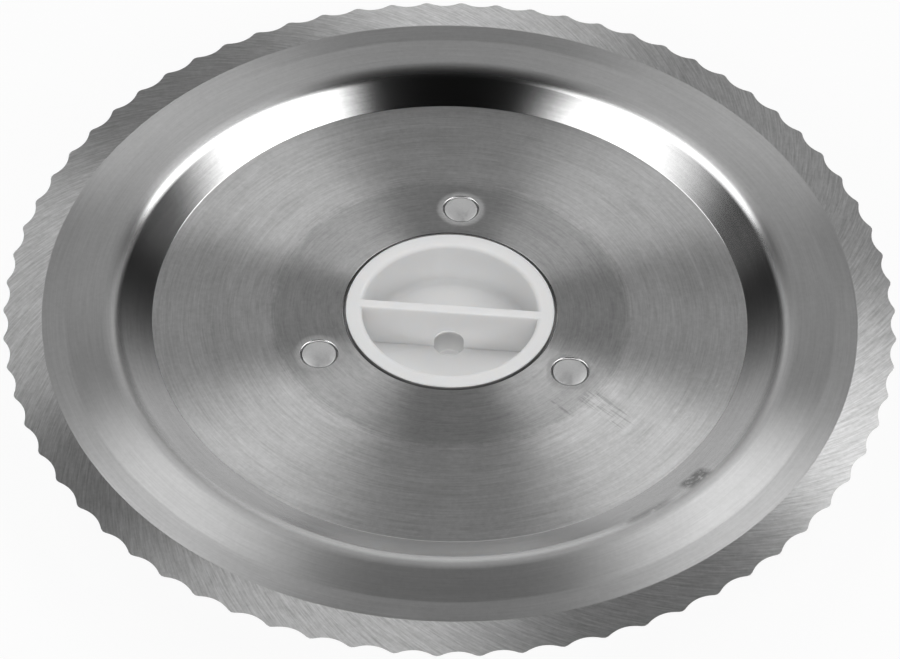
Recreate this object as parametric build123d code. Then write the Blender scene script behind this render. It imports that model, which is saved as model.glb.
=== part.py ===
"""Food slicer blade: a dished, scalloped steel disc riveted to a moulded drive hub.

Millimetres and degrees. The disc's axis is Z and its front, the hollow side with the finger cup,
faces up. The origin is on the axis, in the plane of the hub's back face, on which the blade lies.
The grip bar runs along X, square to the first rivet's radius.
"""

import os
from math import cos, pi, radians, sin, sqrt, tan

from build123d import *

# Steel disc
blade_diameter = 170.0
steel_thickness = 1.2
dish_depth = 4.08
dish_wall_angle = 28.0
dish_fold_radius = 8.0
inner_disc_rise = 0.15
rim_inner_band = 6.9
rim_inner_band_drop = 0.35
rim_outer_band = 4.4
rim_outer_band_rise = 0.2
hole_edge_chamfer = 0.3

# Ground rim and its teeth
tooth_count = 72
first_tip_angle = 2.9
front_bevel_width = 7.3
front_bevel_drop = 0.12
back_bevel_width = 5.5
ground_edge_thickness = 0.18
scallop_depth = 1.0
scallop_radius = 5.6
scallop_grind_angle = 20.0
scallop_overlap = 0.2
scallop_clearance = 1.2

# Finger cup and grip bar of the hub
cup_diameter = 33.8
cup_wall = 3.15
cup_depth = 9.9
cup_draft_angle = 1.0
cup_floor_thickness = 2.4
cup_floor_fillet = 1.4
cup_lip_height = 0.3
cup_lip_chamfer = 0.6
spigot_chamfer = 0.2
grip_bar_thickness = 2.0
grip_bar_rounding = 0.35
hub_gap = 0.45

# Spindle bore
spindle_diameter = 6.0
spindle_clearance = 0.03
spindle_nose_height = 4.9
boss_wall = 3.2
boss_projection = 3.0

# Flange, skirt and toothed wheel on the hub's back
flange_thickness = 2.5
skirt_wall = 1.9
rivet_to_skirt = 0.75
gear_rim_wall = 3.25
gear_face_width = 9.0
gear_module = 1.0
gear_pressure_angle = 20.0
gear_helix_angle = 3.5
gear_edge_chamfer = 0.4
rib_count = 6
rib_thickness = 1.8
rib_setback = 1.0

# Rivets
rivet_count = 3
first_rivet_angle = 90.0
rivet_inset = 7.0
rivet_shank_diameter = 5.0
rivet_hole_clearance = 0.05
rivet_head_diameter = 6.6
rivet_head_recess = 0.12
rivet_head_gap = 0.13
rivet_cone_slope = 30.0
rivet_seat_land = 0.08
rivet_mouth_width = 0.45
rivet_mouth_depth = 0.22
rivet_tail_diameter = 8.5
rivet_tail_height = 1.3
rivet_tail_edge = 0.4
rivet_tail_dimple = 1.6
rivet_tail_dimple_depth = 0.5

# Heights from the hub's back face
cup_floor = boss_projection + cup_floor_thickness
lip_top = cup_floor + cup_depth
disc_front = lip_top - cup_lip_height
disc_back = disc_front - steel_thickness
rim_front = disc_front + dish_depth
outer_band_front = rim_front - rim_inner_band_drop
bevel_front = outer_band_front + rim_outer_band_rise
edge_front = bevel_front - front_bevel_drop
flange_back = disc_back - flange_thickness

# Radii from the axis outwards on the hub
bore_radius = spindle_diameter / 2 + spindle_clearance
boss_radius = bore_radius + boss_wall
cup_radius = cup_diameter / 2
spigot_radius = cup_radius + cup_wall
centre_hole_radius = spigot_radius + hub_gap
rivet_circle_radius = centre_hole_radius + rivet_inset
skirt_inner_radius = rivet_circle_radius + rivet_tail_diameter / 2 + rivet_to_skirt
flange_radius = skirt_inner_radius + skirt_wall

# Toothed wheel: the whole number of teeth nearest to the wall that is wanted under them
gear_addendum = gear_module
gear_dedendum = 1.25 * gear_module
gear_teeth = round(2 * (skirt_inner_radius + gear_rim_wall + gear_dedendum) / gear_module)
gear_pitch_radius = gear_module * gear_teeth / 2
gear_tip_radius = gear_pitch_radius + gear_addendum
gear_root_radius = gear_pitch_radius - gear_dedendum

# Radii from the tooth tips inwards on the disc
tip_radius = blade_diameter / 2
bevel_radius = tip_radius - front_bevel_width
outer_band_radius = bevel_radius - rim_outer_band
fold_radius = outer_band_radius - rim_inner_band
fold_corner_radius = fold_radius - dish_fold_radius * tan(radians(dish_wall_angle / 2))
wall_height = dish_depth - inner_disc_rise
foot_radius = fold_corner_radius - wall_height / tan(radians(dish_wall_angle))

# Rivet head, below the disc's front face
head_radius = rivet_head_diameter / 2
shank_radius = rivet_shank_diameter / 2
shank_hole_radius = shank_radius + rivet_hole_clearance
cone_depth = (head_radius - shank_radius) * tan(radians(rivet_cone_slope))
cone_top = disc_back + rivet_seat_land + cone_depth
head_top = disc_front - rivet_head_recess


def around_axis(shape, count, first_angle=0.0):
    """Copies of a shape, evenly spaced round the axis."""
    return [Rot(0, 0, first_angle + 360 * i / count) * shape for i in range(count)]


def turned(*edges):
    """A solid turned about Z from an outline of radius and height."""
    return revolve(make_face(Plane.XZ * Wire(edges)), Axis.Z)


def outline(points):
    """A closed outline from rows of radius, height and corner rounding."""
    corners = [(radius, height) for radius, height, rounding in points]
    roundings = [rounding for radius, height, rounding in points]
    return FilletPolyline(*corners, radius=roundings, close=True).edges()


def disc_blank():
    """The pressed disc before its teeth: one sheet, dished in a step and bevelled on both sides.

    The step's foot is sharp in front, so behind it bends round at the sheet's thickness.
    """
    fold_shift = steel_thickness * tan(radians(dish_wall_angle / 2))
    rim_back = rim_front - steel_thickness
    foot_front = disc_front + inner_disc_rise
    front = [
        (centre_hole_radius, disc_front - hole_edge_chamfer, 0),
        (centre_hole_radius + hole_edge_chamfer, disc_front, 0),
        (flange_radius, disc_front, 0),
        (foot_radius, foot_front, 0),
        (fold_corner_radius, rim_front, dish_fold_radius),
        (outer_band_radius, outer_band_front, 0),
        (bevel_radius, bevel_front, 0),
        (tip_radius, edge_front, 0),
    ]
    back = [
        (tip_radius, edge_front - ground_edge_thickness, 0),
        (tip_radius - back_bevel_width, bevel_front - steel_thickness, 0),
        (outer_band_radius, outer_band_front - steel_thickness, 0),
        (fold_corner_radius + fold_shift, rim_back, dish_fold_radius - steel_thickness),
        (foot_radius + fold_shift, foot_front - steel_thickness, steel_thickness),
        (flange_radius, disc_back, 0),
        (centre_hole_radius, disc_back, 0),
    ]
    return turned(*outline(front + back))


def scallop_cutter():
    """One ground trough under the rim, sloping up to the edge, at the first tooth gap.

    The grinding wheel's path slopes by the grind angle, so its round section meets the flat front as
    an arc of the scallop's radius, and a tooth tip stays between each pair of troughs.
    """
    slope = radians(scallop_grind_angle)
    half_pitch = 180 / tooth_count
    half_width = tip_radius * tan(radians(half_pitch)) + scallop_overlap
    trough_radius = scallop_radius / tan(slope)
    sag = trough_radius - sqrt(trough_radius**2 - half_width**2)
    trough_floor = -sag - steel_thickness - scallop_depth
    trough = ThreePointArc((-half_width, -sag), (0, 0), (half_width, -sag))
    below = Polyline(
        (half_width, -sag),
        (half_width, trough_floor),
        (-half_width, trough_floor),
        (-half_width, -sag),
    )
    reach_in = scallop_clearance + steel_thickness / tan(slope)
    reach_out = scallop_clearance + scallop_depth
    start = Plane(
        origin=(tip_radius - scallop_depth - reach_in, 0, edge_front - reach_in * tan(slope)),
        x_dir=(0, 1, 0),
        z_dir=(cos(slope), 0, sin(slope)),
    )
    section = make_face(Wire([trough.edge(), *below.edges()]))
    cutter = extrude(start * section, (reach_in + reach_out) / cos(slope))
    return Rot(0, 0, first_tip_angle + half_pitch) * cutter


def rivet_hole():
    """A countersunk rivet hole through the disc with a soft, dimpled mouth."""
    well_radius = head_radius + rivet_head_gap
    mouth_radius = well_radius + rivet_mouth_width
    well_top = disc_front - rivet_mouth_depth
    cone = tan(radians(rivet_cone_slope))
    seat_top = cone_top + (well_radius - head_radius) * cone
    seat_bottom = cone_top - (head_radius - shank_hole_radius) * cone
    over = disc_front + steel_thickness
    under = disc_back - steel_thickness
    walls = Polyline(
        (well_radius, well_top),
        (well_radius, seat_top),
        (shank_hole_radius, seat_bottom),
        (shank_hole_radius, under),
        (0, under),
        (0, over),
        (mouth_radius, over),
        (mouth_radius, disc_front),
    )
    mouth = TangentArc((mouth_radius, disc_front), (well_radius, well_top), tangent=(-1, 0))
    return Pos(rivet_circle_radius, 0, 0) * turned(*walls.edges(), mouth.edge())


def blade_disc():
    """The finished disc: blank, less the scallops and the rivet holes."""
    scallops = around_axis(scallop_cutter(), tooth_count)
    holes = around_axis(rivet_hole(), rivet_count, first_rivet_angle)
    return disc_blank() - scallops - holes


def hub_body():
    """Cup, flange, skirt, wheel rim and boss, turned from one outline."""
    floor_radius = cup_radius - cup_depth * tan(radians(cup_draft_angle))
    boss_top = cup_floor - cup_floor_thickness
    return turned(
        *outline(
            [
                (bore_radius, 0, 0),
                (boss_radius, 0, 0),
                (boss_radius, boss_top, 0),
                (spigot_radius - cup_wall, boss_top, 0),
                (spigot_radius - cup_wall, rib_setback, 0),
                (spigot_radius, rib_setback, 0),
                (spigot_radius, flange_back, 0),
                (skirt_inner_radius, flange_back, 0),
                (skirt_inner_radius, 0, 0),
                (gear_tip_radius - gear_edge_chamfer, 0, 0),
                (gear_tip_radius, gear_edge_chamfer, 0),
                (gear_tip_radius, gear_face_width - gear_edge_chamfer, 0),
                (gear_tip_radius - gear_edge_chamfer, gear_face_width, 0),
                (flange_radius, gear_face_width, 0),
                (flange_radius, disc_back, 0),
                (spigot_radius, disc_back, 0),
                (spigot_radius, lip_top - spigot_chamfer, 0),
                (spigot_radius - spigot_chamfer, lip_top, 0),
                (cup_radius + cup_lip_chamfer, lip_top, 0),
                (cup_radius, lip_top - cup_lip_chamfer, 0),
                (floor_radius, cup_floor, cup_floor_fillet),
                (bore_radius, cup_floor, 0),
            ]
        )
    )


def grip_bar():
    """The thin bar across the cup, with its round-topped recess over the spindle's nose."""
    length = 2 * cup_radius + cup_wall
    bar = Pos(0, 0, cup_floor) * Box(
        length,
        grip_bar_thickness,
        cup_depth,
        align=(Align.CENTER, Align.CENTER, Align.MIN),
    )
    top_edges = bar.faces().sort_by(Axis.Z)[-1].edges().filter_by(Axis.X)
    bar = fillet(top_edges, grip_bar_rounding)
    return bar - spindle_nose()


def spindle_nose():
    """The space that the spindle takes: its bore and the dome over its round end."""
    straight = spindle_nose_height - bore_radius
    shank = Cylinder(
        bore_radius,
        cup_floor + straight,
        align=(Align.CENTER, Align.CENTER, Align.MIN),
    )
    return shank + Pos(0, 0, cup_floor + straight) * Sphere(bore_radius)


def hub_rib():
    """One rib of the back, from the cup's wall to the skirt."""
    inner = spigot_radius - cup_wall / 2
    outer = skirt_inner_radius + skirt_wall / 2
    height = flange_back + flange_thickness / 2 - rib_setback
    return Pos((inner + outer) / 2, 0, rib_setback) * Box(
        outer - inner,
        rib_thickness,
        height,
        align=(Align.CENTER, Align.CENTER, Align.MIN),
    )


def boss_rib():
    """One rib under the cup's floor, from the boss to the cup's wall."""
    inner = boss_radius - boss_wall / 2
    outer = cup_radius + cup_wall / 2
    height = boss_projection + cup_floor_thickness / 2 - rib_setback
    return Pos((inner + outer) / 2, 0, rib_setback) * Box(
        outer - inner,
        rib_thickness,
        height,
        align=(Align.CENTER, Align.CENTER, Align.MIN),
    )


def gear_gap():
    """One tooth space of the wheel, cut along a line that leans by the helix angle."""
    flank = tan(radians(gear_pressure_angle))
    half_gap = gear_module * pi / 4
    overshoot = gear_module / 2
    root_half = half_gap - gear_dedendum * flank
    top_half = half_gap + (gear_addendum + overshoot) * flank
    top_radius = gear_tip_radius + overshoot
    section = make_face(
        Polyline(
            (gear_root_radius, -root_half),
            (top_radius, -top_half),
            (top_radius, top_half),
            (gear_root_radius, root_half),
            close=True,
        )
    )
    lean = radians(gear_helix_angle)
    return extrude(section, gear_face_width / cos(lean), dir=(0, sin(lean), cos(lean)))


def drive_hub():
    """The moulded hub: cup with grip bar, flange, skirt, ribs and the helical toothed wheel."""
    rib_angle = first_rivet_angle + 180 / rib_count
    shank_hole = Pos(rivet_circle_radius, 0, flange_back) * Cylinder(
        shank_hole_radius,
        4 * flange_thickness,
    )
    hub = hub_body() + grip_bar()
    hub = hub + around_axis(hub_rib(), rib_count, rib_angle)
    hub = hub + around_axis(boss_rib(), rib_count, rib_angle)
    hub = hub - around_axis(shank_hole, rivet_count, first_rivet_angle)
    return hub - around_axis(gear_gap(), gear_teeth)


def rivet():
    """A flush rivet: countersunk head in the disc, shank, and a tail closed over the flange."""
    tail_radius = rivet_tail_diameter / 2
    tail_bottom = flange_back - rivet_tail_height
    dimple_radius = rivet_tail_dimple / 2
    outer = Polyline(
        (0, head_top),
        (head_radius, head_top),
        (head_radius, cone_top),
        (shank_radius, cone_top - cone_depth),
        (shank_radius, flange_back),
        (tail_radius, flange_back),
        (tail_radius, flange_back - rivet_tail_edge),
        (dimple_radius + rivet_tail_edge, tail_bottom),
        (dimple_radius, tail_bottom),
        (0, tail_bottom + rivet_tail_dimple_depth),
        (0, head_top),
    )
    return Pos(rivet_circle_radius, 0, 0) * turned(*outer.edges())


nodes = {"blade_disc": blade_disc(), "drive_hub": drive_hub()}
for number, placed in enumerate(around_axis(rivet(), rivet_count, first_rivet_angle), start=1):
    nodes[f"rivet_{number}"] = placed

os.makedirs("parts", exist_ok=True)
for name, shape in nodes.items():
    export_step(shape, f"parts/{name}.step")
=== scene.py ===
"""Food slicer blade: a dished steel disc with a scalloped, ground rim on a white drive hub.

Sizes are in millimetres and angles in degrees, as on a drawing, and MM turns them into Blender's
metres. The disc's axis is Z, its hollow side faces up, and it lies on the hub's back face at Z = 0.
"""

import math

import bmesh
import bpy
from mathutils import Matrix, Quaternion, Vector


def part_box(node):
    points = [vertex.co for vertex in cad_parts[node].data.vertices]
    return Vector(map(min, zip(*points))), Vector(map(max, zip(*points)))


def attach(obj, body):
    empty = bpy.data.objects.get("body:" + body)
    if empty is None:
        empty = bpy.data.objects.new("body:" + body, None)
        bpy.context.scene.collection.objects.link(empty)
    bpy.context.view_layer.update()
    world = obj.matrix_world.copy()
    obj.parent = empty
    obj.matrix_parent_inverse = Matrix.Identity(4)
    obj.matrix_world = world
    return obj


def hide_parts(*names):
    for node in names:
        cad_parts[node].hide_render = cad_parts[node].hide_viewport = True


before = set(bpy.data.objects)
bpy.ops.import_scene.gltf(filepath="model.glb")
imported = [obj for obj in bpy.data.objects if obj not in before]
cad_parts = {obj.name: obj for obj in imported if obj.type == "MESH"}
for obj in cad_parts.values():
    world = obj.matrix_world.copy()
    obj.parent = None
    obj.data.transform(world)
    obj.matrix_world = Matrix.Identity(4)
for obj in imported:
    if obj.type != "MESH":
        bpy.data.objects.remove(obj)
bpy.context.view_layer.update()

MM = 0.001
FULL_TURN = 2 * math.pi

# Heights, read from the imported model
lip_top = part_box("drive_hub")[1].z / MM
disc_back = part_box("blade_disc")[0].z / MM
head_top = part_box("rivet_1")[1].z / MM
tail_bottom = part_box("rivet_1")[0].z / MM

# Steel disc
tip_radius = 85.0
steel_thickness = 1.2
disc_front = disc_back + steel_thickness
hole_radius = 20.5
flat_radius = 34.4
foot_rise = 0.15
rim_rise = 4.07
foot_front = disc_front + foot_rise
rim_front = disc_front + rim_rise
wall_angle = 28.0
fold_radius = 8.0
fold_end_radius = 66.4
burnished_radius = 67.0
crease_radius = 73.3
crease_drop = 0.35
bevel_radius = 77.7
bevel_rise = 0.2
bevel_drop = 0.12
back_bevel_width = 5.5
edge_thickness = 0.18

half_wall = math.tan(math.radians(wall_angle / 2))
fold_corner = fold_end_radius - fold_radius * half_wall
foot_radius = fold_corner - (rim_front - foot_front) / math.tan(math.radians(wall_angle))
crease_front = rim_front - crease_drop
bevel_front = crease_front + bevel_rise
edge_front = bevel_front - bevel_drop
back_slope = (edge_front - edge_thickness - bevel_front + steel_thickness) / back_bevel_width

# Teeth
tooth_count = 72
first_tip_angle = 2.9
scallop_depth = 1.0
scallop_radius = 5.6
scallop_grind_angle = 20.0
honed_thickness = 0.05
steps_per_tooth = 12
disc_smooth_angle = 9

# Hub
bore_radius = 3.03
boss_radius = 6.23
boss_top = 3.0
cup_radius = 16.9
cup_floor_radius = 16.73
cup_floor = 5.4
cup_floor_fillet = 1.4
spigot_radius = 20.05
lip_rounding = 0.9
edge_rounding = 0.2
moulded_fillet = 0.5
rib_setback = 1.0
flange_back = 11.3
skirt_inner_radius = 32.5
rib_count = 6
rib_thickness = 1.8
rib_rounding = 0.25
grip_bar_thickness = 2.0
grip_bar_rounding = 0.35
spindle_nose_height = 4.9
dome_steps = 12
hub_steps = 144
hub_smooth_angle = 32

# Toothed wheel
gear_teeth = 74
gear_root_radius = 35.75
gear_tip_radius = 38.0
gear_face_width = 9.0
gear_root_width = 2.38
gear_tip_width = 0.93
gear_helix_angle = 3.5
tooth_rounding = 0.18
tooth_root_depth = 0.3

# How far a moulded-on piece reaches into the hub's body
overlap = 0.5

# Rivets
rivet_circle_radius = 27.5
first_rivet_angle = 90.0
rivet_count = 3
rivet_steps = 72
rivet_smooth_angle = 35
head_radius = 3.3
shank_radius = 2.5
cone_slope = 30.0
seat_land = 0.08
well_gap = 0.13
shank_gap = 0.05
mouth_width = 0.45
mouth_depth = 0.22
mouth_steps = 6
hole_steps = 96
tail_radius = 4.25
tail_rim = 0.4
dimple_radius = 1.2
dimple_floor_radius = 0.8
dimple_depth = 0.5

# Camera, and how far the studio is turned about the blade
lens = 117.41
sensor_width = 36.0
target = Vector((0.60, -8.69, 18.81))
camera_distance = 555.45
camera_azimuth = 3.40
camera_elevation = 47.30
camera_roll = 1.50
studio_turn = 4.5

# Softboxes, in tangents from straight up: inner and outer edge, front and back edge, then level
right_softbox = (0.303, 0.619, -0.112, 0.692, 4.77)
left_softbox = (0.245, 0.586, -0.051, 0.686, 3.49)

# Lights low behind the blade: half width, height, half height, level
back_lights = [(0.362, 0.667, 0.05, 1.36), (0.338, 0.4, 0.16, 0.79)]

# Light in front: lower and upper edge, level. Horizon: height, level, and how much more at the back
front_light = (0.435, 0.588, 4.0)
horizon_light = (0.364, 0.43, 0.25)

# Lamp over the white plastic, in metres and watts
overhead_size = 0.5
overhead_height = 0.9
overhead_power = 1.3

# The floor's glow round the blade, the painted light under the bore, where the floor glows to light the
# bore, and the latter's share that isn't seen
floor_glow = 0.93
bore_painted_light = 0.45
bore_painted_light_hidden = 0.62
floor_size = 6.0


class Wire:
    """A shader socket that sums can be written with. Each sum adds the Math node that it needs."""

    def __init__(self, net, socket):
        self.net = net
        self.socket = socket

    def math(self, operation, *others):
        values = dict(enumerate([self, *others]))
        return self.net.node("Math", {"operation": operation}, values)

    def other(self, name):
        """Another output of the node that this one comes from."""
        return Wire(self.net, self.socket.node.outputs[name])

    def __add__(self, value):
        return self.math("ADD", value)

    def __sub__(self, value):
        return self.math("SUBTRACT", value)

    def __rsub__(self, value):
        return self.net.node("Math", {"operation": "SUBTRACT"}, {0: value, 1: self})

    def __mul__(self, value):
        return self.math("MULTIPLY", value)

    def __truediv__(self, value):
        return self.math("DIVIDE", value)

    def __neg__(self):
        return self.math("MULTIPLY", -1.0)

    __radd__ = __add__
    __rmul__ = __mul__


class Net:
    """The shader nodes of one material or of the world."""

    def __init__(self, owner):
        owner.use_nodes = True
        self.tree = owner.node_tree
        self.tree.nodes.clear()

    def node(self, kind, settings=None, inputs=None, output=0):
        """A new node: its settings first, then the values or links of its sockets."""
        made = self.tree.nodes.new("ShaderNode" + kind)
        for name, value in (settings or {}).items():
            setattr(made, name, value)
        for name, value in (inputs or {}).items():
            if isinstance(value, Wire):
                self.tree.links.new(value.socket, made.inputs[name])
            else:
                made.inputs[name].default_value = value
        return Wire(self, made.outputs[output])

    def finish(self, kind, surface):
        """The output node, material or world."""
        made = self.tree.nodes.new("ShaderNodeOutput" + kind)
        self.tree.links.new(surface.socket, made.inputs["Surface"])

    def ramp(self, value, low, high, start=0.0, end=1.0):
        """A soft step from start to end while the value goes from low to high."""
        limits = {"From Min": low, "From Max": high, "To Min": start, "To Max": end}
        settings = {"interpolation_type": "SMOOTHSTEP"}
        return self.node("MapRange", settings, {"Value": value, **limits}, "Result")

    def window(self, value, low, high, low_softness, high_softness):
        """One between low and high, nothing outside, with soft ends."""
        rise = self.ramp(value, low - low_softness, low + low_softness)
        return rise * self.ramp(value, high - high_softness, high + high_softness, 1.0, 0.0)

    def point(self, *coordinates):
        """A vector of up to three coordinates."""
        return self.node("CombineXYZ", None, dict(enumerate(coordinates)))

    def noise(self, vector, scale, detail=2.0, roughness=0.5):
        sizes = {"Vector": vector, "Scale": scale, "Detail": detail, "Roughness": roughness}
        return self.node("TexNoise", None, sizes, "Fac")

    def rough_noise(self, vector, scale=1.0):
        """Noise with fine detail, for grinding lines and grain."""
        return self.noise(vector, scale, 3.0, 0.65)

    def shade(self, value, dark, light):
        """A colour between two greys."""
        settings = {"data_type": "RGBA"}
        colours = {"Factor": value, 6: dark, 7: light}
        return self.node("Mix", settings, colours, 2)


def grey(level):
    return (level, level, level, 1.0)


class Place:
    """A point's place in millimetres: x, y, height, and its distance from the axis or a centre."""

    def __init__(self, net, centre=(0.0, 0.0)):
        place = net.node("TexCoord", output="Object")
        x = net.node("SeparateXYZ", None, {0: place})
        self.x = x / MM - centre[0]
        self.y = x.other("Y") / MM - centre[1]
        self.z = x.other("Z") / MM
        self.radius = (self.x * self.x + self.y * self.y).math("SQRT")
        self.whole = net.point(self.x, self.y, self.z)


def turning_lines(net, place, per_mm, broken, lean=0.0):
    """Fine lines left by a turning or grinding wheel: rings, or spirals that lean across the radius.

    per_mm is how many lines lie side by side in a millimetre, broken is how often one ends.
    """
    x = place.x / place.radius
    y = place.y / place.radius
    if not lean:
        return net.rough_noise(net.point(x * broken, y * broken, place.radius * per_mm))
    twist = place.radius * (-1.0 / (tip_radius * math.tan(math.radians(lean))))
    settings = {"rotation_type": "Z_AXIS"}
    unwound = net.node("VectorRotate", settings, {"Vector": net.point(x, y, 0.0), "Angle": twist})
    stretched = net.node("Mapping", None, {"Vector": unwound, "Scale": (tip_radius * per_mm,) * 3})
    x = net.node("SeparateXYZ", None, {0: stretched})
    return net.rough_noise(net.point(x, x.other("Y"), place.radius * broken))


def bumped(net, height, depth):
    """The normal of a surface whose relief is depth millimetres."""
    return net.node("Bump", None, {"Height": height, "Distance": depth * MM})


def metal(net, colour, roughness, anisotropy=0.0, turn=0.0, normal=None):
    """Bare steel. Anisotropy draws its gloss out across the rings round the axis, slanted by turn."""
    sockets = {
        "Base Color": colour,
        "Metallic": 1.0,
        "Roughness": roughness,
        "Anisotropic": anisotropy,
        "Anisotropic Rotation": turn,
    }
    if anisotropy:
        sockets["Tangent"] = net.node("Tangent", {"direction_type": "RADIAL", "axis": "Z"})
    if normal:
        sockets["Normal"] = normal
    return net.node("BsdfPrincipled", None, sockets)


def material(name):
    """A new material and its empty nodes."""
    made = bpy.data.materials.new(name)
    return made, Net(made)


# Steel: its grey, and how wide its gloss spreads across and along the grinding lines of each zone
steel_level = 0.52
rivet_level = 0.62
disc_across = 0.24
inner_band_across = 0.22
outer_band_across = 0.21
bevel_across = 0.45
along_lines = 0.027
bevel_along = 0.045
bevel_lean = 34.8
step_across = 0.0195
step_along = 0.015

# Wear: the steel dulled round the hub, the burnished ring round each rivet, and which way marks run
dulled_level = 0.77
ring_inner_radius = 3.4
ring_outer_radius = 4.6
ring_share = 0.85
ring_level = 1.3
ring_roughness = 0.36
scratch_angle = -39.6
scuff_angle = 45.0

# White plastic
plastic_dark = 0.8
plastic_light = 0.83
plastic_depth = 1.4
# How much painted shade darkens the plastic in the gap round the hub, and in the bore
gap_painted_shade = 0.7
bore_shade = 0.3


def rivet_angles():
    """Where the rivets stand round the axis, in radians."""
    return [math.radians(first_rivet_angle + 360 * i / rivet_count) for i in range(rivet_count)]


def gloss(across, along):
    """Principled roughness and anisotropy for two spreads."""
    return math.sqrt(math.sqrt(across * along)), min(1.0, (1 - along / across) / 0.9)


def ring_marks(net, place):
    """Marks round the axis, about one half: fine lines, wider broken bands, grain and faint clouds."""
    fine = turning_lines(net, place, 3.2, 6.0) - 0.5
    wide = turning_lines(net, place, 1.1, 3.0) - 0.5
    broad = turning_lines(net, place, 0.3, 1.4) - 0.5
    grain = net.rough_noise(place.whole, 1.1) - 0.5
    cloud = net.noise(place.whole, 0.09, 3.0) - 0.5
    return fine * 0.9 + wide * 0.5 + broad * 0.4 + grain * 0.6 + cloud * 0.4 + 0.5


def scaled(net, colour, factor):
    """A colour made brighter or darker."""
    return net.node("VectorMath", {"operation": "SCALE"}, {0: colour, "Scale": factor})


def brushed_steel(name, across):
    """A flat band of steel with faint rings of grinding lines."""
    made, net = material(name)
    marks = ring_marks(net, Place(net))
    tone = net.shade(marks, grey(steel_level * 0.84), grey(steel_level * 1.16))
    spread, pull = gloss(across, along_lines)
    normal = bumped(net, marks, 0.0012)
    net.finish("Material", metal(net, tone, spread, pull, 0.25, normal))
    return made


def worn_disc(name):
    """The inner disc: grinding rings, duller round the hub, burnished round each rivet, scratched."""
    made, net = material(name)
    place = Place(net)
    marks = ring_marks(net, place)
    edge = place.radius + marks * 2.0
    dulled = net.ramp(edge, flat_radius - 0.5, flat_radius + 2.5, dulled_level, 1.0)
    rings = 0.0
    for angle in rivet_angles():
        centre = (rivet_circle_radius * math.cos(angle), rivet_circle_radius * math.sin(angle))
        distance = Place(net, centre).radius
        rings = rings + net.window(distance, ring_inner_radius, ring_outer_radius, 0.2, 0.6)
    tone = net.shade(marks, grey(steel_level * 0.7), grey(steel_level * 1.3))
    worn = scratches(net, place) * 0.2 - scuffs(net, place) * 0.1
    tone = scaled(net, tone, dulled - worn)
    spread, pull = gloss(disc_across, along_lines)
    normal = bumped(net, marks, 0.002)
    brushed = metal(net, tone, spread, pull, 0.25, normal)
    burnished = metal(net, scaled(net, tone, ring_level), ring_roughness, normal=normal)
    mixed = net.node("MixShader", None, {0: rings * ring_share, 1: brushed, 2: burnished})
    net.finish("Material", mixed)
    return made


def turned(place, angle):
    """How far a point lies along a direction, and how far beside it."""
    turn = math.radians(angle)
    along = place.x * math.cos(turn) + place.y * math.sin(turn)
    beside = place.y * math.cos(turn) - place.x * math.sin(turn)
    return along, beside


def scratches(net, place):
    """Two sheaves of thin scratches that run outwards by the last rivet, and a dull patch beside one."""
    along, beside = turned(place, scratch_angle)
    strokes = net.noise(net.point(along * 0.1, beside * 1.9, 0.0), 1.0, 2.0, 0.7)
    breaks = net.noise(net.point(along * 0.3, beside * 0.6, 5.0), 1.0, 2.0)
    cuts = net.ramp(strokes, 0.46, 0.6) * net.ramp(breaks, 0.36, 0.5)
    sheaf = net.window(along, 33.0, 44.0, 1.0, 1.2) * net.window(beside, 0.4, 4.6, 0.6, 0.6)
    thin = net.window(along, 29.5, 34.5, 0.8, 0.8) * net.window(beside, -3.6, -2.0, 0.4, 0.4)
    patch = net.window(along, 34.0, 41.0, 2.0, 2.0) * net.window(beside, 3.8, 5.2, 0.7, 0.7)
    return cuts * (sheaf + thin) * 1.2 + patch * 0.5


def scuffs(net, place):
    """Short, light strokes across the scratches, in scattered patches of the same side."""
    along, beside = turned(place, scuff_angle)
    strokes = net.noise(net.point(along * 0.5, beside * 1.5, 0.0), 1.0, 2.0, 0.6)
    clouds = net.ramp(net.noise(place.whole, 0.16, 2.0), 0.5, 0.62)
    side = net.window(beside, -54.0, -44.0, 3.0, 4.0)
    return net.ramp(strokes, 0.52, 0.66) * clouds * side


def smudges(net, place):
    """Two dark, ragged smudges on the step's wall."""
    angle = place.y.math("ARCTAN2", place.x) * (180 / math.pi)
    ragged = net.ramp(net.noise(place.whole, 0.55, 4.0, 0.65), 0.32, 0.54)
    first = net.window(angle, -42.9, -37.6, 0.9, 0.8)
    first = first * net.window(place.radius, 61.2, 64.0, 0.6, 0.6)
    second = net.window(angle, -56.0, -47.0, 2.0, 2.0)
    second = second * net.window(place.radius, 62.5, 64.0, 0.5, 0.4)
    return (first + second * 0.6) * ragged


def smooth_steel(name):
    """The pressed step's wall, burnished smooth by the die, and its fold, brushed like the rim."""
    made, net = material(name)
    place = Place(net)
    marks = ring_marks(net, place)
    tone = net.shade(marks, grey(steel_level * 0.85), grey(steel_level * 1.15))
    tone = scaled(net, tone, 1.0 - smudges(net, place) * 0.6)
    spread, pull = gloss(step_across, step_along)
    wall = metal(net, tone, spread, pull, 0.25)
    spread, pull = gloss(inner_band_across, along_lines)
    rim = metal(net, tone, spread, pull, 0.25, bumped(net, marks, 0.001))
    mask = net.ramp(place.radius, 62.5, 65.5)
    net.finish("Material", net.node("MixShader", None, {0: mask, 1: wall, 2: rim}))
    return made


def ground_steel(name):
    """The rim's bevel, ground in strokes that lean across the edge."""
    made, net = material(name)
    place = Place(net)
    lines = turning_lines(net, place, 1.6, 0.35, bevel_lean)
    grain = net.rough_noise(place.whole, 1.3)
    tone = net.shade(lines * 0.75 + grain * 0.25, grey(steel_level * 0.3), grey(steel_level * 1.7))
    spread, pull = gloss(bevel_across, bevel_along)
    normal = bumped(net, lines, 0.003)
    net.finish("Material", metal(net, tone, spread, pull, 0.25 - bevel_lean / 360, normal))
    return made


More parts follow.
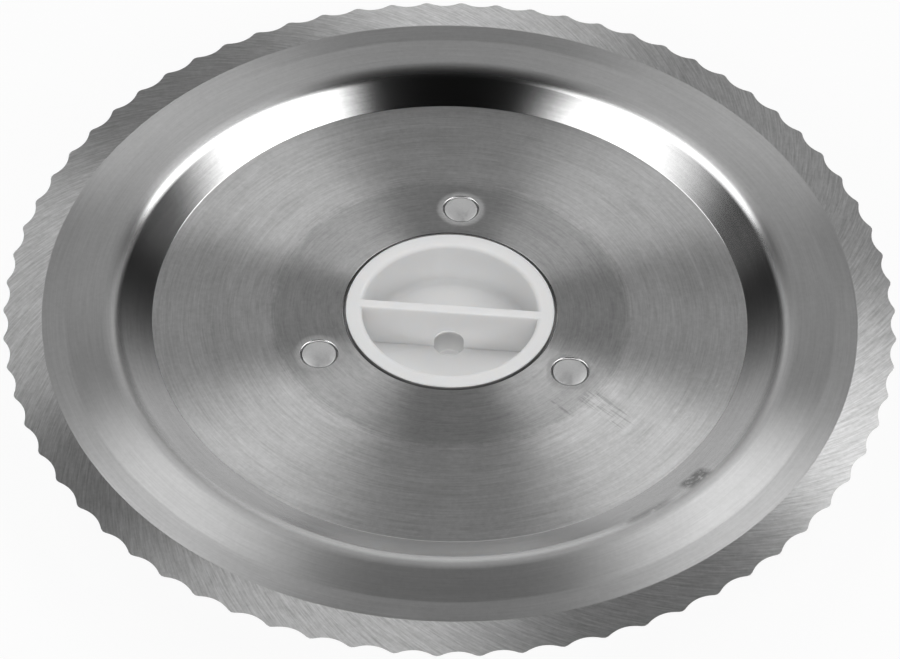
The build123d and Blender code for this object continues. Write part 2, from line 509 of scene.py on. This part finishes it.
def plain_steel(name, level):
    """Steel with no direction in it, as rolled or pressed."""
    made, net = material(name)
    place = Place(net)
    grain = net.noise(place.whole, 3.0, 3.0)
    tone = net.shade(grain, grey(level * 0.9), grey(level * 1.15))
    roughness = net.ramp(grain, 0.3, 0.7, 0.3, 0.42)
    net.finish("Material", metal(net, tone, roughness, normal=bumped(net, grain, 0.004)))
    return made


def white_plastic(name):
    """The hub's moulding, with painted shade in the gap round it and a bore darkened by painted shade.
    """
    made, net = material(name)
    place = Place(net)
    cloud = net.noise(place.whole, 0.12, 2.0)
    grain = net.noise(place.whole, 6.0, 2.0)
    # Painted shade in the narrow gap between hub and disc, below the disc's face
    painted_gap_shade = net.window(place.radius, spigot_radius - 0.08, hole_radius + 0.5, 0.03, 0.3)
    painted_gap_shade = painted_gap_shade * net.window(place.z, disc_back, disc_front + 0.05, 0.1, 0.05)
    # Painted shade: the bore's wall under the cup floor is darkened, most towards its top
    bore = net.ramp(place.radius, bore_radius + 0.05, bore_radius + 0.2, 1.0, 0.0)
    below_floor = net.ramp(place.z, cup_floor - 0.05, cup_floor + 0.05, 1.0, 0.0)
    shade = bore * below_floor * net.ramp(place.z, 1.0, cup_floor + 0.5)
    clean = net.shade(cloud, grey(plastic_dark), grey(plastic_light))
    sockets = {
        "Base Color": scaled(net, clean, 1.0 - painted_gap_shade * gap_painted_shade - shade * bore_shade),
        "Roughness": net.ramp(grain, 0.3, 0.7, 0.32, 0.45),
        "Normal": bumped(net, grain, 0.003),
        "Subsurface Weight": 1.0,
        "Subsurface Radius": (1.0, 0.95, 0.9),
        "Subsurface Scale": plastic_depth * MM,
    }
    net.finish("Material", net.node("BsdfPrincipled", None, sockets))
    return made


def white_floor(name):
    """A matt white floor. What is seen of it glows round the blade, so that it meets the background; the
    glow fades out under the blade as a painted shadow, and under the bore it is painted light for every
    ray.
    """
    made, net = material(name)
    place = Place(net)
    rays = net.node("LightPath", output="Is Camera Ray")
    seen = rays.math("MAXIMUM", rays.other("Is Glossy Ray"))
    seen = seen.math("MAXIMUM", rays.other("Is Transmission Ray"))
    # Painted light: the floor under the bore glows for every ray, not only where it is seen, so that it
    # lights the bore's walls
    painted_light_under_bore = net.ramp(place.radius, 5.0, 8.0, bore_painted_light, 0.0)
    # Painted shadow: the glow fades out in a round area under the blade, leaving the floor there darker,
    # down to its real shadow
    around = net.ramp(place.radius, 40.0, 62.0, 0.0, floor_glow)
    share = painted_light_under_bore + seen * (around - painted_light_under_bore * bore_painted_light_hidden)
    cloud = net.noise(place.whole, 0.01)
    matt = net.node("BsdfDiffuse", None, {"Color": net.shade(cloud, grey(0.9), grey(0.92))})
    glow = net.node("Emission", None, {"Color": grey(1.0), "Strength": 1.0})
    net.finish("Material", net.node("MixShader", None, {0: share, 1: matt, 2: glow}))
    return made


def softbox(net, across, away, light):
    """One of the softboxes, where a direction lies across and away from the camera."""
    inner, outer, front, back, level = light
    return net.window(across, inner, outer, 0.1, 0.2) * net.window(away, front, back, 0.06, 0.06) * level


def back_light(x, z, light):
    """One of the lights behind the blade, brightest at its middle and fading outwards."""
    half_width, height, half_height, level = light
    across = x / half_width
    up = (z - height) / half_height
    return (-(across * across + up * up)).math("EXPONENT") * level


def studio_sky():
    """The studio: a pale horizon, a softbox on each side, two lights behind and one in front."""
    world = bpy.data.worlds.new("studio")
    net = Net(world)
    ray = net.node("TexCoord", output="Generated")
    settings = {"rotation_type": "Z_AXIS"}
    turn = {"Vector": ray, "Angle": math.radians(-studio_turn)}
    x = net.node("SeparateXYZ", None, {0: net.node("VectorRotate", settings, turn)})
    y = x.other("Y")
    z = x.other("Z")
    height = z.math("MAXIMUM", 0.02)
    across = x / height
    away = y / height
    horizon_height, horizon_level, horizon_lean = horizon_light
    fall = (z.math("MAXIMUM", 0.0) / horizon_height).math("POWER", 4.0)
    horizon = (-fall).math("EXPONENT") * (horizon_level + y * horizon_lean)
    above = net.ramp(z, -0.04, 0.08)
    sides = softbox(net, across, away, right_softbox) + softbox(net, -across, away, left_softbox)
    behind = sum(back_light(x, z, light) for light in back_lights)
    low, high, front_level = front_light
    front = net.window(z, low, high, 0.09, 0.15) * net.ramp(-y, 0.2, 0.5) * front_level
    level = horizon + above * sides + behind * net.ramp(y, -0.3, 0.3) + front
    seen = net.node("LightPath", output="Is Camera Ray")
    strength = level * (1.0 - seen) + seen
    net.finish("World", net.node("Background", None, {"Color": grey(1.0), "Strength": strength}))
    bpy.context.scene.world = world


def overhead_lamp(lit):
    """A soft lamp over the blade, which lights only the white plastic and shows in no reflection."""
    data = bpy.data.lights.new("overhead", "AREA")
    data.size = overhead_size
    data.energy = overhead_power
    lamp = bpy.data.objects.new("overhead", data)
    lamp.location = (0.0, 0.0, overhead_height)
    lamp.visible_glossy = False
    lamp.light_linking.receiver_collection = bpy.data.collections.new("lit_by_the_overhead_lamp")
    lamp.light_linking.receiver_collection.objects.link(lit)
    bpy.context.scene.collection.objects.link(lamp)


def aim_camera():
    """The photograph's camera, on a ball round the target, looking at it and rolled a little."""
    azimuth = math.radians(camera_azimuth)
    elevation = math.radians(camera_elevation)
    back = Vector(
        (
            math.sin(azimuth) * math.cos(elevation),
            -math.cos(azimuth) * math.cos(elevation),
            math.sin(elevation),
        )
    )
    data = bpy.data.cameras.new("camera")
    data.lens = lens
    data.sensor_width = sensor_width
    data.clip_start = 0.01
    data.clip_end = 20.0
    camera = bpy.data.objects.new("camera", data)
    bpy.context.scene.collection.objects.link(camera)
    upright = back.to_track_quat("Z", "Y")
    roll = Quaternion((0, 0, 1), math.radians(camera_roll))
    camera.matrix_world = Matrix.LocRotScale(
        (target + back * camera_distance) * MM, upright @ roll, None
    )
    bpy.context.scene.camera = camera


def rounded(corners):
    """Points of an outline whose corners are rounded.

    Each corner holds its radius and height, the length that its arc takes from both sides, and the
    arc's steps.
    """
    points = []
    for i, (radius, height, cut, steps) in enumerate(corners):
        corner = Vector((radius, height))
        if not cut:
            points.append(corner)
            continue
        before = Vector(corners[i - 1][:2])
        after = Vector(corners[(i + 1) % len(corners)][:2])
        way_in = (corner - before).normalized()
        way_out = (after - corner).normalized()
        bend = math.atan2(way_in.x * way_out.y - way_in.y * way_out.x, way_in.dot(way_out))
        arc_radius = cut / math.tan(abs(bend) / 2)
        start = corner - way_in * cut
        for step in range(steps + 1):
            half = bend / 2 * step / steps
            chord = 2 * arc_radius * math.sin(abs(half))
            points.append(start + Matrix.Rotation(half, 2) @ way_in * chord)
    return points


def deselect_all():
    bpy.ops.object.select_all(action="DESELECT")


def edit(piece):
    """Edit mode on one piece, with nothing selected in it."""
    deselect_all()
    piece.select_set(True)
    bpy.context.view_layer.objects.active = piece
    bpy.ops.object.mode_set(mode="EDIT")
    bpy.ops.mesh.select_all(action="DESELECT")
    return bmesh.from_edit_mesh(piece.data)


def object_mode():
    bpy.ops.object.mode_set(mode="OBJECT")


def choose(mesh, verts):
    """Selects these vertices and nothing else."""
    for v in mesh.verts:
        v.select = False
    mesh.select_flush(False)
    for v in verts:
        v.select = True
    mesh.select_flush_mode()


def lathe(name, points, steps, start_angle=0.0):
    """A closed outline drawn point by point and spun about Z."""
    turn = Matrix.Rotation(math.radians(start_angle), 3, "Z")
    places = [turn @ Vector((p.x, 0.0, p.y)) * MM for p in points]
    deselect_all()
    bpy.ops.mesh.primitive_plane_add(size=MM, location=places[0])
    piece = bpy.context.object
    piece.name = piece.data.name = name
    bpy.ops.object.transform_apply(location=True, rotation=False, scale=False)
    edit(piece)
    bpy.ops.mesh.select_all(action="SELECT")
    bpy.ops.mesh.merge(type="CENTER")
    for here, there in zip(places, places[1:]):
        bpy.ops.mesh.extrude_vertices_move(TRANSFORM_OT_translate={"value": there - here})
    mesh = bmesh.from_edit_mesh(piece.data)
    ends = [v for v in mesh.verts if len(v.link_edges) == 1]
    choose(mesh, ends)
    bpy.ops.mesh.edge_face_add()
    bpy.ops.mesh.select_all(action="SELECT")
    bpy.ops.mesh.spin(steps=steps, angle=FULL_TURN, center=(0, 0, 0), axis=(0, 0, 1))
    bpy.ops.mesh.select_all(action="SELECT")
    bpy.ops.mesh.remove_doubles(threshold=0.002 * MM)
    bpy.ops.mesh.normals_make_consistent(inside=False)
    object_mode()
    return piece


def apply_modifier(piece, kind, **settings):
    """Adds a modifier with these settings and applies it at once."""
    deselect_all()
    piece.select_set(True)
    bpy.context.view_layer.objects.active = piece
    modifier = piece.modifiers.new(kind.lower(), kind)
    for name, value in settings.items():
        setattr(modifier, name, value)
    bpy.ops.object.modifier_apply(modifier=modifier.name)


def smooth(piece, angle):
    """Shades faces smooth where they meet at less than this angle."""
    deselect_all()
    piece.select_set(True)
    bpy.context.view_layer.objects.active = piece
    bpy.ops.object.shade_smooth_by_angle(angle=math.radians(angle))


def join(pieces):
    """Makes one piece of several."""
    deselect_all()
    for piece in pieces:
        piece.select_set(True)
    bpy.context.view_layer.objects.active = pieces[0]
    bpy.ops.object.join()
    return pieces[0]


def disc_outline():
    """The pressed sheet's section: along its front from the centre hole to the edge, then its back."""
    shift = steel_thickness * half_wall
    inner_fold_radius = fold_radius - steel_thickness
    band_fall = math.atan2(crease_drop, crease_radius - fold_corner)
    half_fold = math.tan(math.radians(wall_angle / 2) + band_fall / 2)
    trough_radius = tip_radius - scallop_depth / 2
    trough_height = edge_front - edge_thickness - back_slope * (tip_radius - trough_radius)
    front = [
        (hole_radius, disc_front, 0.3, 4),
        (flat_radius, disc_front, 0, 0),
        (foot_radius, foot_front, 0.12, 4),
        (fold_corner, rim_front, fold_radius * half_fold, 20),
        (crease_radius, crease_front, 0.3, 3),
        (bevel_radius, bevel_front, 0.08, 2),
        (tip_radius, edge_front, 0, 0),
    ]
    back = [
        (tip_radius, edge_front - edge_thickness, 0, 0),
        (trough_radius, trough_height, 0, 0),
        (tip_radius - back_bevel_width, bevel_front - steel_thickness, 0.08, 2),
        (crease_radius, crease_front - steel_thickness, 0.3, 3),
        (fold_corner + shift, rim_front - steel_thickness, inner_fold_radius * half_fold, 14),
        (foot_radius + shift, foot_front - steel_thickness, steel_thickness * half_wall, 6),
        (flat_radius, disc_back, 0, 0),
        (hole_radius, disc_back, 0.15, 2),
    ]
    return rounded(front + back)


def grind_scallops(disc):
    """Draws the edge in between the teeth and cuts the trough behind it.

    The outline left three rings of points at the rim: the trough's end, and the edge's front and back.
    Points at the same step of every tooth move together.
    """
    slope = math.tan(math.radians(scallop_grind_angle))
    trough_curve = scallop_radius / slope
    front_slope = bevel_drop / (tip_radius - bevel_radius)
    step_angle = FULL_TURN / (tooth_count * steps_per_tooth)
    valley = math.radians(first_tip_angle + 180 / tooth_count)
    mesh = edit(disc)
    rings = {}
    middle = (edge_front - edge_thickness / 2) * MM
    for v in mesh.verts:
        radius = v.co.xy.length / MM
        if radius < tip_radius - scallop_depth * 0.6:
            continue
        phase = round((math.atan2(v.co.y, v.co.x) - valley) / step_angle) % steps_per_tooth
        phase = min(phase, steps_per_tooth - phase)
        if radius < tip_radius - scallop_depth * 0.2:
            ring = "trough"
        elif v.co.z > middle:
            ring = "front"
        else:
            ring = "back"
        rings.setdefault((ring, phase), []).append(v.index)
    for (ring, phase), indices in rings.items():
        offset = tip_radius * step_angle * phase
        sag = trough_curve - math.sqrt(trough_curve**2 - offset**2)
        cut_radius = tip_radius - scallop_depth + sag / slope
        edge_radius = min(tip_radius, cut_radius)
        front_height = edge_front + front_slope * (tip_radius - edge_radius)
        back_height = front_height - max(honed_thickness, (cut_radius - edge_radius) * slope)
        meet_radius = cut_radius * slope - edge_thickness - back_slope * tip_radius
        meet_radius = meet_radius / (slope - back_slope)
        meet_height = edge_front - edge_thickness - back_slope * (tip_radius - meet_radius)
        places = {
            "front": (edge_radius, front_height),
            "back": (edge_radius, back_height),
            "trough": (meet_radius, meet_height),
        }
        radius, height = places[ring]
        mesh.verts.ensure_lookup_table()
        chosen = [mesh.verts[i] for i in indices]
        choose(mesh, chosen)
        old_radius = chosen[0].co.xy.length / MM
        lift = height * MM - chosen[0].co.z
        scale = radius / old_radius
        bpy.ops.transform.resize(value=(scale, scale, 1.0), center_override=(0, 0, 0))
        bpy.ops.transform.translate(value=(0, 0, lift))
        mesh = bmesh.from_edit_mesh(disc.data)
    object_mode()


def rivet_well():
    """What a countersunk rivet hole takes out of the disc, with a soft mouth, drawn on the axis."""
    cone = math.tan(math.radians(cone_slope))
    well_radius = head_radius + well_gap
    mouth_radius = well_radius + mouth_width
    hole = shank_radius + shank_gap
    cone_top = disc_back + seat_land + (head_radius - shank_radius) * cone
    seat_top = cone_top + well_gap * cone
    seat_bottom = cone_top - (head_radius - hole) * cone
    over = disc_front + 1.0
    under = disc_back - 1.0
    arc = []
    for step in range(mouth_steps + 1):
        turn = math.pi / 2 * step / mouth_steps
        radius = mouth_radius - mouth_width * math.sin(turn)
        arc.append((radius, disc_front - mouth_depth * (1 - math.cos(turn))))
    outline = [
        (0.0, over),
        (mouth_radius, over),
        *arc,
        (well_radius, seat_top),
        (hole, seat_bottom),
        (hole, under),
        (0.0, under),
    ]
    return lathe("well", [Vector(p) for p in outline], hole_steps)


def at_each_rivet(piece):
    """Copies of a piece that was drawn on the axis, one at each rivet's place."""
    copies = []
    for angle in rivet_angles():
        deselect_all()
        piece.select_set(True)
        bpy.context.view_layer.objects.active = piece
        bpy.ops.object.duplicate()
        copy = bpy.context.object
        copy.location = Vector((math.cos(angle), math.sin(angle), 0)) * rivet_circle_radius * MM
        bpy.ops.object.transform_apply(location=True, rotation=False, scale=False)
        copies.append(copy)
    bpy.data.objects.remove(piece)
    return copies


def paint(piece, finishes, pick):
    """Gives each face the finish that pick names for it."""
    names = list(finishes)
    for name in names:
        piece.data.materials.append(finishes[name])
    for face in piece.data.polygons:
        face.material_index = names.index(pick(face))


def disc_zone(face):
    """The zone that a face of the disc lies in."""
    radius = face.center.xy.length / MM
    # What looks sideways or down is a cut edge or the back
    if face.normal.z < 0.3:
        return "back"
    if radius > bevel_radius:
        return "bevel"
    if radius > crease_radius:
        return "outer_band"
    if radius > foot_radius:
        return "step" if radius < burnished_radius else "inner_band"
    return "disc" if face.normal.z > 0.98 else "step"


def blade_disc():
    """The steel disc, with its teeth ground and its rivet holes cut."""
    disc = lathe(
        "ground_disc",
        disc_outline(),
        tooth_count * steps_per_tooth,
        first_tip_angle + 180 / tooth_count,
    )
    grind_scallops(disc)
    cutter = join(at_each_rivet(rivet_well()))
    apply_modifier(disc, "BOOLEAN", object=cutter, operation="DIFFERENCE", solver="EXACT")
    bpy.data.objects.remove(cutter)
    smooth(disc, disc_smooth_angle)
    finishes = {
        "disc": worn_disc("brushed_disc"),
        "step": smooth_steel("burnished_step"),
        "inner_band": brushed_steel("brushed_inner_band", inner_band_across),
        "outer_band": brushed_steel("brushed_outer_band", outer_band_across),
        "bevel": ground_steel("ground_bevel"),
        "back": plain_steel("rolled_back", steel_level),
    }
    paint(disc, finishes, disc_zone)
    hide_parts("blade_disc")
    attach(disc, "root")


def hub_outline():
    """The moulding's section, from the bore's foot round its back, and down into the cup."""
    return rounded(
        [
            (bore_radius, 0, 0.3, 2),
            (boss_radius, 0, 0.3, 3),
            (boss_radius, boss_top, moulded_fillet, 3),
            (cup_radius, boss_top, moulded_fillet, 3),
            (cup_radius, rib_setback, edge_rounding, 3),
            (spigot_radius, rib_setback, edge_rounding, 3),
            (spigot_radius, flange_back, moulded_fillet, 3),
            (skirt_inner_radius, flange_back, moulded_fillet, 3),
            (skirt_inner_radius, 0, 0.3, 3),
            (gear_root_radius, 0, 0.3, 3),
            (gear_root_radius, gear_face_width, 0.3, 3),
            (flat_radius, gear_face_width, 0.3, 3),
            (flat_radius, disc_back, edge_rounding, 3),
            (spigot_radius, disc_back, 0, 0),
            (spigot_radius, lip_top, edge_rounding, 4),
            (cup_radius, lip_top, lip_rounding, 8),
            (cup_floor_radius, cup_floor, cup_floor_fillet, 8),
            (bore_radius, cup_floor, 0.1, 2),
        ]
    )


def slab(name, inner, outer, thickness, low, high):
    """A plain box from one radius to another along X, which the callers round or cut."""
    middle = (inner + outer) / 2 * MM
    height = (low + high) / 2 * MM
    deselect_all()
    bpy.ops.mesh.primitive_cube_add(size=MM, location=(middle, 0, height))
    piece = bpy.context.object
    piece.name = piece.data.name = name
    piece.scale = (outer - inner, thickness, high - low)
    bpy.ops.object.transform_apply(location=True, rotation=False, scale=True)
    return piece


def turned_copies(piece, count):
    """Copies of the piece round the axis, in one mesh."""
    edit(piece)
    bpy.ops.mesh.select_all(action="SELECT")
    bpy.ops.mesh.spin(
        steps=count - 1,
        dupli=True,
        angle=FULL_TURN * (count - 1) / count,
        center=(0, 0, 0),
        axis=(0, 0, 1),
    )
    bpy.ops.mesh.select_all(action="SELECT")
    bpy.ops.mesh.normals_make_consistent(inside=False)
    object_mode()
    return piece


def gear_tooth():
    """One tooth of the wheel: a block drawn in towards its tip, leaning by the helix angle."""
    root = gear_root_radius - tooth_root_depth
    tooth = slab("wheel_teeth", root, gear_tip_radius, gear_root_width, 0.0, gear_face_width)
    mesh = edit(tooth)
    middle = (gear_root_radius + gear_tip_radius) / 2 * MM
    choose(mesh, [v for v in mesh.verts if v.co.x > middle])
    taper = gear_tip_width / gear_root_width
    bpy.ops.transform.resize(value=(1, taper, 1), center_override=(0, 0, 0))
    mesh = bmesh.from_edit_mesh(tooth.data)
    lean = gear_face_width * math.tan(math.radians(gear_helix_angle))
    choose(mesh, [v for v in mesh.verts if v.co.z > gear_face_width / 2 * MM])
    bpy.ops.transform.translate(value=(0, lean * MM, 0))
    object_mode()
    apply_modifier(tooth, "BEVEL", width=tooth_rounding * MM, segments=1, limit_method="ANGLE")
    return turned_copies(tooth, gear_teeth)


def ribs(name, inner, outer, high):
    """The ribs between two walls, with their ends sunk into the walls and into what they carry."""
    size = (inner - overlap, outer + overlap, rib_thickness, rib_setback, high + overlap)
    rib = slab(name, *size)
    apply_modifier(rib, "BEVEL", width=rib_rounding * MM, segments=2, limit_method="ANGLE")
    return turned_copies(rib, rib_count)


def spindle_space():
    """The bore and the dome over the spindle's round end."""
    straight = cup_floor + spindle_nose_height - bore_radius
    outline = [Vector((0.0, 1.0)), Vector((bore_radius, 1.0))]
    for step in range(dome_steps + 1):
        turn = math.pi / 2 * step / dome_steps
        outline.append(
            Vector((bore_radius * math.cos(turn), straight + bore_radius * math.sin(turn)))
        )
    outline[-1].x = 0.0
    return lathe("spindle_space", outline, hole_steps)


def grip_bar():
    """The bar across the cup, with its long edges rounded and the spindle's space cut out."""
    half = cup_radius + lip_rounding * 0.9
    bar = slab("grip_bar", -half, half, grip_bar_thickness, cup_floor - overlap, lip_top)
    mesh = edit(bar)
    top = lip_top * MM * 0.999
    long_edges = [
        e
        for e in mesh.edges
        if all(v.co.z > top for v in e.verts) and abs(e.verts[0].co.x - e.verts[1].co.x) > half * MM
    ]
    for e in long_edges:
        e.select = True
    bpy.ops.mesh.bevel(offset=grip_bar_rounding * MM, segments=4, affect="EDGES")
    object_mode()
    space = spindle_space()
    apply_modifier(bar, "BOOLEAN", object=space, operation="DIFFERENCE", solver="EXACT")
    bpy.data.objects.remove(space)
    return bar


def drive_hub():
    """The white moulding: one turned body with the bar, the ribs and the wheel's teeth joined on."""
    hub = lathe("moulded_hub", hub_outline(), hub_steps)
    moulded_on = [
        grip_bar(),
        ribs("outer_ribs", spigot_radius, skirt_inner_radius, flange_back),
        ribs("inner_ribs", boss_radius, cup_radius, boss_top),
        gear_tooth(),
    ]
    for piece in moulded_on:
        apply_modifier(hub, "BOOLEAN", object=piece, operation="UNION", solver="EXACT")
        bpy.data.objects.remove(piece)
    smooth(hub, hub_smooth_angle)
    hub.data.materials.append(white_plastic("white_moulding"))
    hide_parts("drive_hub")
    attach(hub, "root")
    return hub


def rivets():
    """The three rivets: flat countersunk heads, and tails set behind the flange with a dimple."""
    cone = math.tan(math.radians(cone_slope))
    cone_top = disc_back + seat_land + (head_radius - shank_radius) * cone
    outline = rounded(
        [
            (0, head_top, 0, 0),
            (head_radius, head_top, 0.15, 3),
            (head_radius, cone_top, 0, 0),
            (shank_radius, disc_back + seat_land, 0, 0),
            (shank_radius, flange_back, 0, 0),
            (tail_radius, flange_back, 0.1, 2),
            (tail_radius, flange_back - tail_rim, 0.3, 3),
            (dimple_radius, tail_bottom, 0.3, 3),
            (dimple_floor_radius, tail_bottom, 0.15, 2),
            (0, tail_bottom + dimple_depth, 0, 0),
        ]
    )
    for number, piece in enumerate(at_each_rivet(lathe("rivet", outline, rivet_steps)), start=1):
        smooth(piece, rivet_smooth_angle)
        piece.name = piece.data.name = f"flush_rivet_{number}"
        piece.data.materials.append(plain_steel(f"rivet_steel_{number}", rivet_level))
        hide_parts(f"rivet_{number}")
        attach(piece, "root")


def floor():
    """The white floor that the hub's back face stands on."""
    deselect_all()
    bpy.ops.mesh.primitive_plane_add(size=floor_size, location=(0, 0, 0))
    table = bpy.context.object
    table.name = "floor"
    table.data.materials.append(white_floor("white_floor"))


aim_camera()
studio_sky()
floor()
blade_disc()
overhead_lamp(drive_hub())
rivets()

bpy.context.scene.view_settings.view_transform = "Standard"
